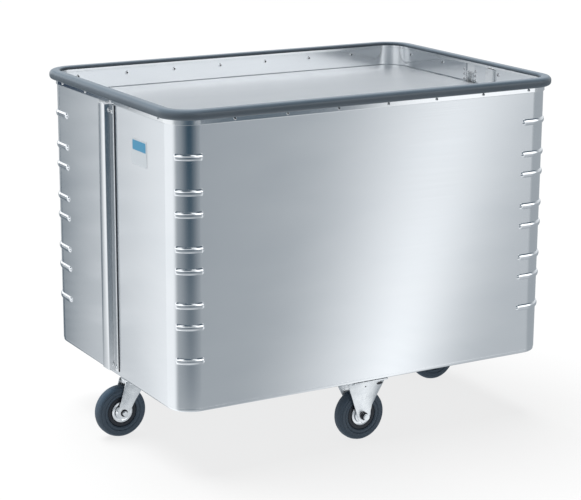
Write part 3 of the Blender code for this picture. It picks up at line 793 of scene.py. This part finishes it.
def axle_ends(name, body, axle, hollow):
    """Axle bolt with its head on the front side, a near-black piece under the head that is painted shade, and
    the nut behind.
    """
    side = FORK_OUT + GAP
    hexagon = [(HEX_R * cos(pi / 3 * i), HEX_R * sin(pi / 3 * i)) for i in range(6)]
    shank = disc(AXLE_R, -side, side + 0.008)
    if hollow:
        profile = [(0, 0.0014), (0.0030, 0.0014), (0.0036, 0.0030), (0.0052, 0.0034), (0.0060, 0.0022),
                   (0.0060, 0), (0, 0)]
        under_head_shade = [(0.0060, 0.0012), (0.0086, 0.0012), (0.0092, 0), (0.0060, 0)]
        head = lathed([(r, side + h) for r, h in profile], 40)
        dark = moved(lathed([(r, side + h) for r, h in under_head_shade], 40, closed=True), ALONG_Y)
    else:
        head = joined(disc(0.0050, side, side + 0.0100), disc(0.0078, side + 0.0090, side + 0.0138, 0.0012))
        dark = extruded(hexagon, -side - 0.0060, -side, "Y")
    bolt = moved(joined(shank, head), ALONG_Y)
    piece(name + "_castor_axle_bolt_head", bolt, ZINC, body, axle, [name + "_castor_axle_bolt"], sharp=40)
    # The piece under the head is near-black: painted shade beside the bolt head.
    piece(name + "_castor_axle_collar", dark, RECESS_SHADE, body, axle, slot="black_nylon", bevel=0.0004)
    nut = extruded(hexagon, side, side + 0.0055, "Y")
    piece(name + "_castor_axle_nut_hex", nut, ZINC, body, axle, [name + "_castor_axle_nut"],
          bevel=0.0005)


def formed_leg(sign, rings):
    """A pressed leg with its two margins folded back towards the wheel.

    Each ring is (z, left edge, left fold, right fold, right edge, face y, margin depth), and y counts from
    the wheel's plane.
    """
    loops = []
    for z, left, fold_left, fold_right, right, face, depth in rings:
        back = face - depth
        outside = [(left, back), (fold_left, face), (fold_right, face), (right, back)]
        inside = [(x, y - FORK_T) for x, y in reversed(outside)]
        loops.append([(x, sign * y, z) for x, y in outside + inside])
    return loft(loops)


def boss_rings(x, radius, fold):
    """Rings of a leg's round lower end, from its lowest point up to the axle's height."""
    rings = []
    for k in range(BOSS_STEPS + 1):
        angle = radians(8 + 82 * k / BOSS_STEPS)
        half = radius * sin(angle)
        z = WHEEL_R - radius * cos(angle)
        rings.append((z, x - half, x - half * fold, x + half * fold, x + half, FORK_OUT, 0.0))
    return rings


def top_plate(half_x, half_y, low):
    return extruded(rectangle((-half_x, -half_y), (half_x, half_y), 0.008, 6), low, PLATE_TOP)


def four_spots(x, y):
    return (-x, -y), (x, -y), (x, y), (-x, y)


def swivel_castor(side):
    """A swivel castor with its wheel trailing to -X. Returns its post and where its plate's screws are."""
    body = side + "_swivel"
    sign = -1 if side == "left" else 1
    post = Matrix.Translation((BX + sign * SWIVEL_X, 0, 0))
    axle = post @ Matrix.Translation((-TRAIL, 0, WHEEL_R))
    name = side + "_castor"
    wheel(side, side + "_wheel", axle)
    axle_ends(side, body, axle, hollow=True)
    rings = boss_rings(-TRAIL, 0.0145, 0.6)
    rings += [(0.090, -0.0450, -0.0380, -0.0100, -0.0070, FORK_OUT, 0.0020),
              (0.122, -0.0345, -0.0270, 0.0080, 0.0170, FORK_OUT, 0.0035),
              (0.1372, -0.0300, -0.0230, 0.0190, 0.0262, FORK_OUT, 0.0035)]
    legs = [formed_leg(turn, rings) for turn in (-1, 1)]
    under = CROWN_TOP - FORK_T
    dish = rounded([(0.0062, CROWN_TOP), (0.0240, CROWN_TOP, 0.0020), (0.0310, 0.1385, 0.0040),
                    (0.0318, 0.1300, 0.0006), (0.0295, 0.1300, 0.0006), (0.0285, 0.1370, 0.0030),
                    (0.0225, under, 0.0015), (0.0062, under)])
    piece(name + "_fork_pressing", joined(*legs, lathed(dish, 64, closed=True)), ZINC, body, post,
          [name + "_fork"], bevel=0.0006)
    race = [(0.0068, 0.1534, 0.0004), (0.0205, 0.1534, 0.0010), (0.0250, 0.1508, 0.0012),
            (0.0250, 0.1474, 0.0012), (0.0215, 0.1445, 0.0010), (0.0068, 0.1445, 0.0004)]
    piece(name + "_ball_race_turned", lathed(rounded(race, 3), 56, closed=True), HUB, body, post,
          [name + "_ball_race"])
    bolt_face = under - GAP
    bolt = joined(disc(0.006, bolt_face, PLATE_TOP - GAP), disc(0.010, bolt_face - 0.0055, bolt_face, 0.0010))
    piece(name + "_king_bolt_turned", bolt, ZINC, "cart", post, [name + "_king_bolt"], sharp=40)
    piece(name + "_top_plate_pressing", top_plate(0.0425, 0.0525, PLATE_TOP - 0.004), ZINC, "cart", post,
          [name + "_top_plate"], bevel=0.0006)
    return post, four_spots(0.032, 0.042)


def fixed_castor(side):
    """A fixed castor. Returns its post and where its plate's screws are."""
    sign = -1 if side == "front" else 1
    post = Matrix.Translation((BX, sign * FIXED_Y, 0))
    axle = post @ Matrix.Translation((0, 0, WHEEL_R))
    name = side + "_castor"
    wheel(side, side + "_wheel", axle)
    axle_ends(side, "cart", axle, hollow=False)
    crown = PLATE_TOP - 0.001
    slope = BRACKET_FLARE / (crown - BRACKET_KNEE)
    rings = boss_rings(0, 0.0160, 0.62)
    levels = ((BRACKET_KNEE, 0.0245, 0.0150, 0.0020), (0.112, 0.0345, 0.0200, 0.0070),
              (crown - 0.012, 0.0480, 0.0275, 0.0130), (crown - 0.0005, 0.0480, 0.0280, 0.0130))
    for z, half, fold, depth in levels:
        rings.append((z, -half, -fold, fold, half, FORK_OUT + slope * max(z - BRACKET_KNEE, 0.0), depth))
    legs = [formed_leg(turn, rings) for turn in (-1, 1)]
    plate = top_plate(0.051, 0.0515, PLATE_TOP - 0.0035)
    piece(name + "_bracket_pressing", joined(*legs, plate), ZINC, "cart", post, [name + "_bracket"],
          bevel=0.0006)
    # Near-black ovals on each leg stand for its holes: painted shade.
    hole_shade = lathed([(0, 0.0003), (0.9, 0.0003), (1.0, 0.0), (1.0, -0.0004), (0, -0.0004)], 28)
    hole_shades = []
    for x, z, wide, tall in ((0.0270, 0.1470, 0.0085, 0.0040), (-0.0110, 0.1440, 0.0020, 0.0020)):
        for turn in (-1, 1):
            y = FORK_OUT + slope * (z - BRACKET_KNEE)
            tilt = Matrix.Rotation(-turn * atan(slope), 4, "X") @ ALONG_Y
            spot = Matrix.Translation((x, turn * y, z)) @ tilt @ Matrix.Diagonal((wide, tall, 1.0, 1.0))
            hole_shades.append(moved(hole_shade, spot))
    piece(name + "_bracket_holes", joined(*hole_shades), RECESS_SHADE, "cart", post, slot="black_nylon")
    return post, four_spots(0.040, 0.036)


PLATE_SCREW = [(0.0, -0.0052), (0.0030, -0.0050), (0.0052, -0.0040), (0.0062, -0.0022), (0.0062, 0.0),
               (0.0, 0.0)]
PLATE_SCREW_Z = PLATE_TOP - 0.0038
for side in CASTORS:
    post, spots = swivel_castor(side) if side in ("left", "right") else fixed_castor(side)
    screw = lathed(PLATE_SCREW, 20)
    heads = [moved(screw, post @ Matrix.Translation((x, y, PLATE_SCREW_Z))) for x, y in spots]
    piece(side + "_castor_plate_screws", joined(*heads), ZINC, "cart", WORLD, sharp=50)


# ---------------------------------------------------------------- label

LABEL_Y = -0.160
LABEL_Z = 0.715
LABEL_W = 0.079
LABEL_H = 0.059
LABEL_T = 0.0002
BAND_HALF = LABEL_W / 2 - 0.006
BAND_SPAN = (LABEL_Z + 0.004, LABEL_Z + 0.026)


def printed(name, colour, rough):
    """Smooth film or ink with a very fine grain."""
    n = Nodes(name)
    fine = n.noise((1500.0, 1500.0, 1500.0))
    tint = n.blend(n.span(fine, 0.0, 1.0), tuple(c * 0.94 for c in colour), colour)
    sheen = n.span(fine, rough - 0.05, rough + 0.05)
    return n.feed(Base_Color=tint, Roughness=sheen, Normal=n.bump(fine, 0.00001, 0.3))


def sticker(name, half, span, corner, layer, mat):
    """A thin rectangle on the left-hand wall, spanning two heights."""
    flat = rectangle((LABEL_Y - half, span[0]), (LABEL_Y + half, span[1]), corner)
    face = -HALF_L - layer * LABEL_T
    piece(name, extruded(flat, face - LABEL_T, face, "X"), mat, "cart", MIDDLE, slot="satin_aluminium")


sticker("end_label", LABEL_W / 2, (LABEL_Z - LABEL_H / 2, LABEL_Z + LABEL_H / 2), 0.003, 1,
        printed("label_film", (0.62, 0.67, 0.71), 0.35))
sticker("end_label_band", BAND_HALF, BAND_SPAN, 0.002, 2, printed("label_print", (0.06, 0.30, 0.50), 0.40))


# ---------------------------------------------------------------- studio

def glow(name, rows, colours):
    """A card through rows of points that only shows in reflections: not seen directly, it lights nothing."""
    verts = [point for row in rows for point in row]
    wide = len(rows[0])
    corners = [r * wide + i for r in range(len(rows) - 1) for i in range(wide - 1)]
    faces = [(a, a + 1, a + wide + 1, a + wide) for a in corners]
    mesh = bpy.data.meshes.new(name)
    mesh.from_pydata(verts, [], faces)
    tone = mesh.color_attributes.new("glow", "FLOAT_COLOR", "POINT")
    for i, (r, g, b) in enumerate(colours):
        tone.data[i].color = (r, g, b, 1.0)
    obj = linked(name, mesh)
    mat = bpy.data.materials.new(name)
    mat.use_nodes = True
    tree = mat.node_tree
    tree.nodes.clear()
    emit = tree.nodes.new("ShaderNodeEmission")
    read = tree.nodes.new("ShaderNodeAttribute")
    read.attribute_name = "glow"
    out = tree.nodes.new("ShaderNodeOutputMaterial")
    tree.links.new(read.outputs["Color"], emit.inputs["Color"])
    tree.links.new(emit.outputs[0], out.inputs["Surface"])
    mat.cycles.emission_sampling = "NONE"
    mesh.materials.append(mat)
    obj.visible_camera = False
    obj.visible_diffuse = False
    obj.visible_transmission = False
    obj.visible_volume_scatter = False
    obj.visible_shadow = False
    return obj


def smooth(value, low, high):
    """0 below low, 1 above high, with an even S curve between."""
    t = min(max((value - low) / (high - low), 0.0), 1.0)
    return t * t * (3 - 2 * t)


def table(value, knots):
    """Straight-line reading of sorted (value, result) knots."""
    for (a, fa), (b, fb) in zip(knots, knots[1:]):
        if value <= b:
            return fa + (fb - fa) * min(max((value - a) / (b - a), 0.0), 1.0)
    return knots[-1][1]


def bearing(x, y):
    """Degrees from -Y towards +X."""
    return degrees(atan2(x, -y))


def gap_between(a, b):
    """Signed degrees from bearing b to bearing a."""
    return (a - b + 180) % 360 - 180


def toward(turn, rise):
    """Unit vector at a bearing and a rise above the floor, both in degrees."""
    a, e = radians(turn), radians(rise)
    return Vector((sin(a) * cos(e), -cos(a) * cos(e), sin(e)))


def tinted(level):
    """Grey with a cool cast that matters most in the darks."""
    return (max(level - 0.034, level * 0.55), level, level + 0.032)


# The walls are near mirrors, so the studio is laid out by what they show from the camera: brightness against
# place along the front wall (X, leaning with height), the left wall (Y) and the rim strip on each.
CAMERA_AT = (-2.1748, -3.762, 1.5145)
FRONT_LEAN = 0.27
FRONT_SHIFT = 0.02
FRONT_TONES = ((-0.400, 0.413), (-0.370, 0.430), (-0.286, 0.520), (-0.200, 0.680), (-0.113, 0.850),
               (-0.060, 0.980), (-0.010, 1.110), (0.030, 1.100), (0.067, 0.980), (0.110, 0.840),
               (0.159, 0.700), (0.205, 0.590), (0.270, 0.532))
LEFT_TONES = ((-0.308, 0.995), (-0.279, 0.950), (-0.238, 0.862), (-0.197, 0.770), (-0.155, 0.700),
              (-0.113, 0.663), (-0.059, 0.634), (-0.0125, 0.620), (-0.011, 0.80), (0.025, 0.80),
              (0.0265, 0.600), (0.113, 0.565), (0.161, 0.532), (0.209, 0.483), (0.235, 0.459),
              (0.250, 0.402), (0.262, 0.315), (0.275, 0.220), (0.287, 0.160))
STRIP_Z = (0.85, 0.91)
STRIP_FRONT = ((-0.30, 0.12), (-0.06, 0.24), (0.06, 1.05))
STRIP_LEFT = ((-0.285, 1.00), (-0.265, 0.90), (-0.245, 0.22), (-0.160, 0.20), (-0.080, 0.12), (0.0, 0.03))
FRONT_END = (0.55, 0.75)
LEFT_END = (0.80, 1.30)

# The mirrored floor is darkest in a well round the near corner's bearing, WELL degrees from -Y.
CORNER = (BX - HALF_L + 0.045, -HALF_W + 0.045)
WELL = -22
WELL_WIDTH = 37

# Each soft box is (bearing, rise, half width, half height, power), in degrees.
SOFTBOXES = ((-4, 46, 12, 11, 1.3), (-72, 44, 13, 12, 1.3), (30, 18, 32, 18, 1.6),
             (150, 16, 40, 16, 0.16), (-150, 16, 30, 16, 0.62), (-82, 15, 30, 12, 1.2),
             (-30, 15, 30, 13, 0.45), (150, 48, 40, 13, 0.6))
REACH = 12.0
BACKDROP_R = 28.0


def wall_view(x, y, z):
    """Where the camera sees a studio point mirrored: (front wall's X, Z) and (left wall's Y, Z)."""
    views = []
    for face, away, along in ((-HALF_W, (y, CAMERA_AT[1]), (x, CAMERA_AT[0])),
                              (BX - HALF_L, (x, CAMERA_AT[0]), (y, CAMERA_AT[1]))):
        view = None
        if away[0] < face - 0.001:
            t = (face - away[1]) / (2 * face - away[1] - away[0])
            view = (along[1] + t * (along[0] - along[1]), CAMERA_AT[2] + t * (z - CAMERA_AT[2]))
        views.append(view)
    return views


def mirrored_level(x, y, z, level):
    """Brightness of a studio point, where a flat wall mirrors it; elsewhere the given level."""
    walls = ((BX - HALF_L, FRONT_END, FRONT_SHIFT, FRONT_LEAN, FRONT_TONES, STRIP_FRONT),
             (-HALF_W, LEFT_END, 0.0, 0.0, LEFT_TONES, STRIP_LEFT))
    for view, (start, end, shift, lean, tones, strip) in zip(wall_view(x, y, z), walls):
        if view:
            across, up = view
            weight = smooth(across, start, start + CORNER_R) * (1 - smooth(across, *end))
            tone = table(across - shift - lean * up, tones)
            tone += (table(across, strip) - tone) * smooth(up, *STRIP_Z)
            level += (tone - level) * weight
    return level


def floor_level(x, y):
    """Brightness of the studio floor as the walls mirror it."""
    dx, dy = x - CORNER[0], y - CORNER[1]
    away = hypot(dx, dy)
    turn = bearing(dx, dy)
    level = 0.40
    dark = 0.06 + 0.40 * exp(-away / 1.2)
    well = exp(-(gap_between(turn, WELL) / WELL_WIDTH) ** 2)
    level += (min(dark, level) - level) * well
    left = smooth(-gap_between(turn, 0), 62, 106)
    back = smooth(abs(gap_between(turn, -125)), 28, 52)
    level += 0.56 * left * (1 - back) + 0.4 * exp(-(away / 0.35) ** 2)
    return mirrored_level(x, y, 0.0, level)


def dome_level(turn, rise):
    """Brightness of the studio round and over the cart."""
    from_well = abs(gap_between(turn, WELL))
    level = 0.10 + 0.50 * smooth(from_well, 70, 120) * (1 - smooth(rise, 25, 45))
    level += 0.22 * smooth(rise, 68, 86)
    level += 0.16 * (1 - smooth(rise, 10, 40)) * (1 - exp(-(from_well / WELL_WIDTH) ** 2))
    for middle, height, wide, tall, power in SOFTBOXES:
        side = abs(gap_between(turn, middle)) / wide
        up = abs(rise - height) / tall
        level += power * (1 - smooth(side, 0.6, 1.3)) * (1 - smooth(up, 0.6, 1.3))
    level = max(level, 0.03)
    spot = toward(turn, rise) * REACH
    return level + (mirrored_level(*spot, level) - level) * (1 - smooth(rise, 4, 14))


def dome(name, radius, rises, turns, tone):
    """A dome round the cart, with its colours from tone(turn, rise)."""
    rows = [[tuple(toward(turn, rise) * radius) for turn in turns] for rise in rises]
    return glow(name, rows, [tone(turn, rise) for rise in rises for turn in turns])


# The mirrored floor's grid is finest at the near corner, where the tones change fastest.
ticks = [copysign(REACH * (abs(k) / 90) ** 2.2, k) for k in range(-90, 91)]
rows = [[(x + BX - HALF_L, y - HALF_W, -0.002) for x in ticks] for y in ticks]
glow("floor_reflection", rows, [tinted(floor_level(x, y)) for row in rows for x, y, _ in row])
dome("studio_reflection", REACH, range(-2, 91, 2), range(-180, 181, 2), lambda t, r: tinted(dome_level(t, r)))

# A pale surround closes the view behind the floor. It is only seen directly.
backdrop = dome("studio_backdrop", BACKDROP_R, range(-1, 90, 3), range(0, 361, 5), lambda t, r: (0.97,) * 3)
backdrop.visible_camera = True
backdrop.visible_glossy = False


def pale_floor():
    """The floor under the cart: nearly white by its own glow, so that shadows on it stay faint."""
    mesh = bpy.data.meshes.new("studio_floor")
    mesh.from_pydata([(x, y, 0) for x, y in four_spots(30.0, 30.0)], [], [(0, 1, 2, 3)])
    obj = linked("studio_floor", mesh)
    n = Nodes("pale_floor")
    broad = n.noise((1.5, 1.5, 1.5))
    tint = n.blend(n.span(broad, 0.0, 1.0), (0.085, 0.085, 0.085), (0.095, 0.095, 0.095))
    n.feed(Base_Color=tint, Roughness=0.9, Specular_IOR_Level=0.0)
    mesh.materials.append(n.feed(Emission_Color=(1.0, 1.0, 1.0, 1.0), Emission_Strength=0.80))
    obj.visible_glossy = False


pale_floor()

LAMP_DISTANCE = 4.0
LAMP_SIZE = 2.6
LAMP_TARGET = Vector((0, 0, 0.4))


def lamp(name, turn, rise, power):
    """A soft area light aimed at the cart. The studio dome stands for it in reflections."""
    data = bpy.data.lights.new(name, "AREA")
    data.shape = "DISK"
    data.size = LAMP_SIZE
    data.energy = power
    obj = linked(name, data)
    offset = toward(turn, rise) * LAMP_DISTANCE
    obj.location = LAMP_TARGET + offset
    obj.rotation_mode = "QUATERNION"
    obj.rotation_quaternion = offset.to_track_quat("Z", "Y")
    obj.visible_camera = False
    obj.visible_glossy = False


lamp("key", 20, 50, 10)
lamp("fill", -85, 35, 12)

sun = linked("soft_sun", bpy.data.lights.new("soft_sun", "SUN"))
sun.data.energy = 7.5
sun.data.angle = radians(50)
sun.rotation_euler = (radians(-20), radians(-6), 0)
sun.visible_glossy = False

world = bpy.data.worlds.new("studio")
bpy.context.scene.world = world
world.use_nodes = True
background = world.node_tree.nodes["Background"]
background.inputs["Color"].default_value = (1.0, 1.0, 1.0, 1.0)
background.inputs["Strength"].default_value = 0.15

scene = bpy.context.scene
scene.view_settings.view_transform = "Standard"

CAMERA_TURN = -29.97
CAMERA_RISE = 14.415
CAMERA_ROLL = radians(0.313)
SENSOR_MM = 36.0
LENS_MM = 113.2048
back = toward(CAMERA_TURN, CAMERA_RISE)
right = (-back).cross(Vector((0, 0, 1))).normalized()
up = right.cross(-back)
turned_right = right * cos(CAMERA_ROLL) + up * sin(CAMERA_ROLL)
turned_up = up * cos(CAMERA_ROLL) - right * sin(CAMERA_ROLL)
lens = bpy.data.cameras.new("camera")
lens.sensor_width = SENSOR_MM
lens.lens = LENS_MM
camera = linked("camera", lens)
camera.matrix_world = Matrix((turned_right, turned_up, back)).transposed().to_4x4()
camera.location = CAMERA_AT
scene.camera = camera
